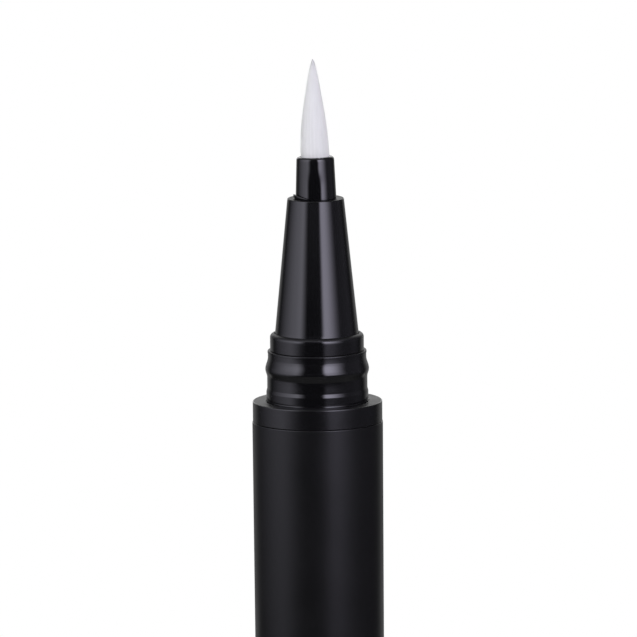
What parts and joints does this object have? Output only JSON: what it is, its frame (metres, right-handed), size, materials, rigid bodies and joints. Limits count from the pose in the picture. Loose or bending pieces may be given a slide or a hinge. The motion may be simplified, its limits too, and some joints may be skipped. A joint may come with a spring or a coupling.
{
  "type": "lash adhesive pen",
  "caption": "Slim black cosmetic adhesive pen with a white brush tip, shown uncapped and standing on its tail.",
  "frame": {"origin": "centre of the tail plug's flat end, which the pen stands on", "axes": "+Z along the pen, from its tail to its brush. The pen is turned around Z. +X is the picture's right, and -Y faces its camera."},
  "size_m": [0.011, 0.011, 0.1189],
  "materials": {
    "glossy_black": "moulded ABS, polished",
    "satin_black": "moulded ABS, fine satin",
    "white_filament": "fine tapered nylon filaments",
    "fused_filament": "fused nylon",
    "natural_plastic": "moulded polypropylene, uncoloured",
    "pressed_fibre": "bonded fibre rod",
    "black_rubber": "moulded rubber",
    "polished_steel": "polished ball"
  },
  "bodies": {
    "pen": {"barrel": "satin_black", "tail_plug": "satin_black", "tail_seal": "black_rubber", "collar_ring": "satin_black", "neck_sleeve": "glossy_black", "neck_seal": "black_rubber", "collector_holder": "glossy_black", "liquid_collector": "natural_plastic", "collector_seal": "black_rubber", "tank_stopper": "natural_plastic", "relay_core": "pressed_fibre", "front_cone": "glossy_black", "tip_holder": "glossy_black", "brush_root": "fused_filament", "brush_clamp": "natural_plastic"},
    "brush": {"brush_tip": "white_filament"},
    "ball": {"mixing_ball": "polished_steel"}
  },
  "joints": [
    {"name": "brush_flex", "type": "hinge", "parent": "pen", "child": "brush", "pos_m": [0, 0, 0.1106], "axis": [0, 1, 0], "range_deg": [-20, 20], "stiffness_Nm_per_rad": 0.00005, "deforming": ["brush_tip"]},
    {"name": "ball_slide", "type": "slide", "parent": "pen", "child": "ball", "axis": [0, 0, 1], "range_m": [0, 0.0581]}
  ]
}
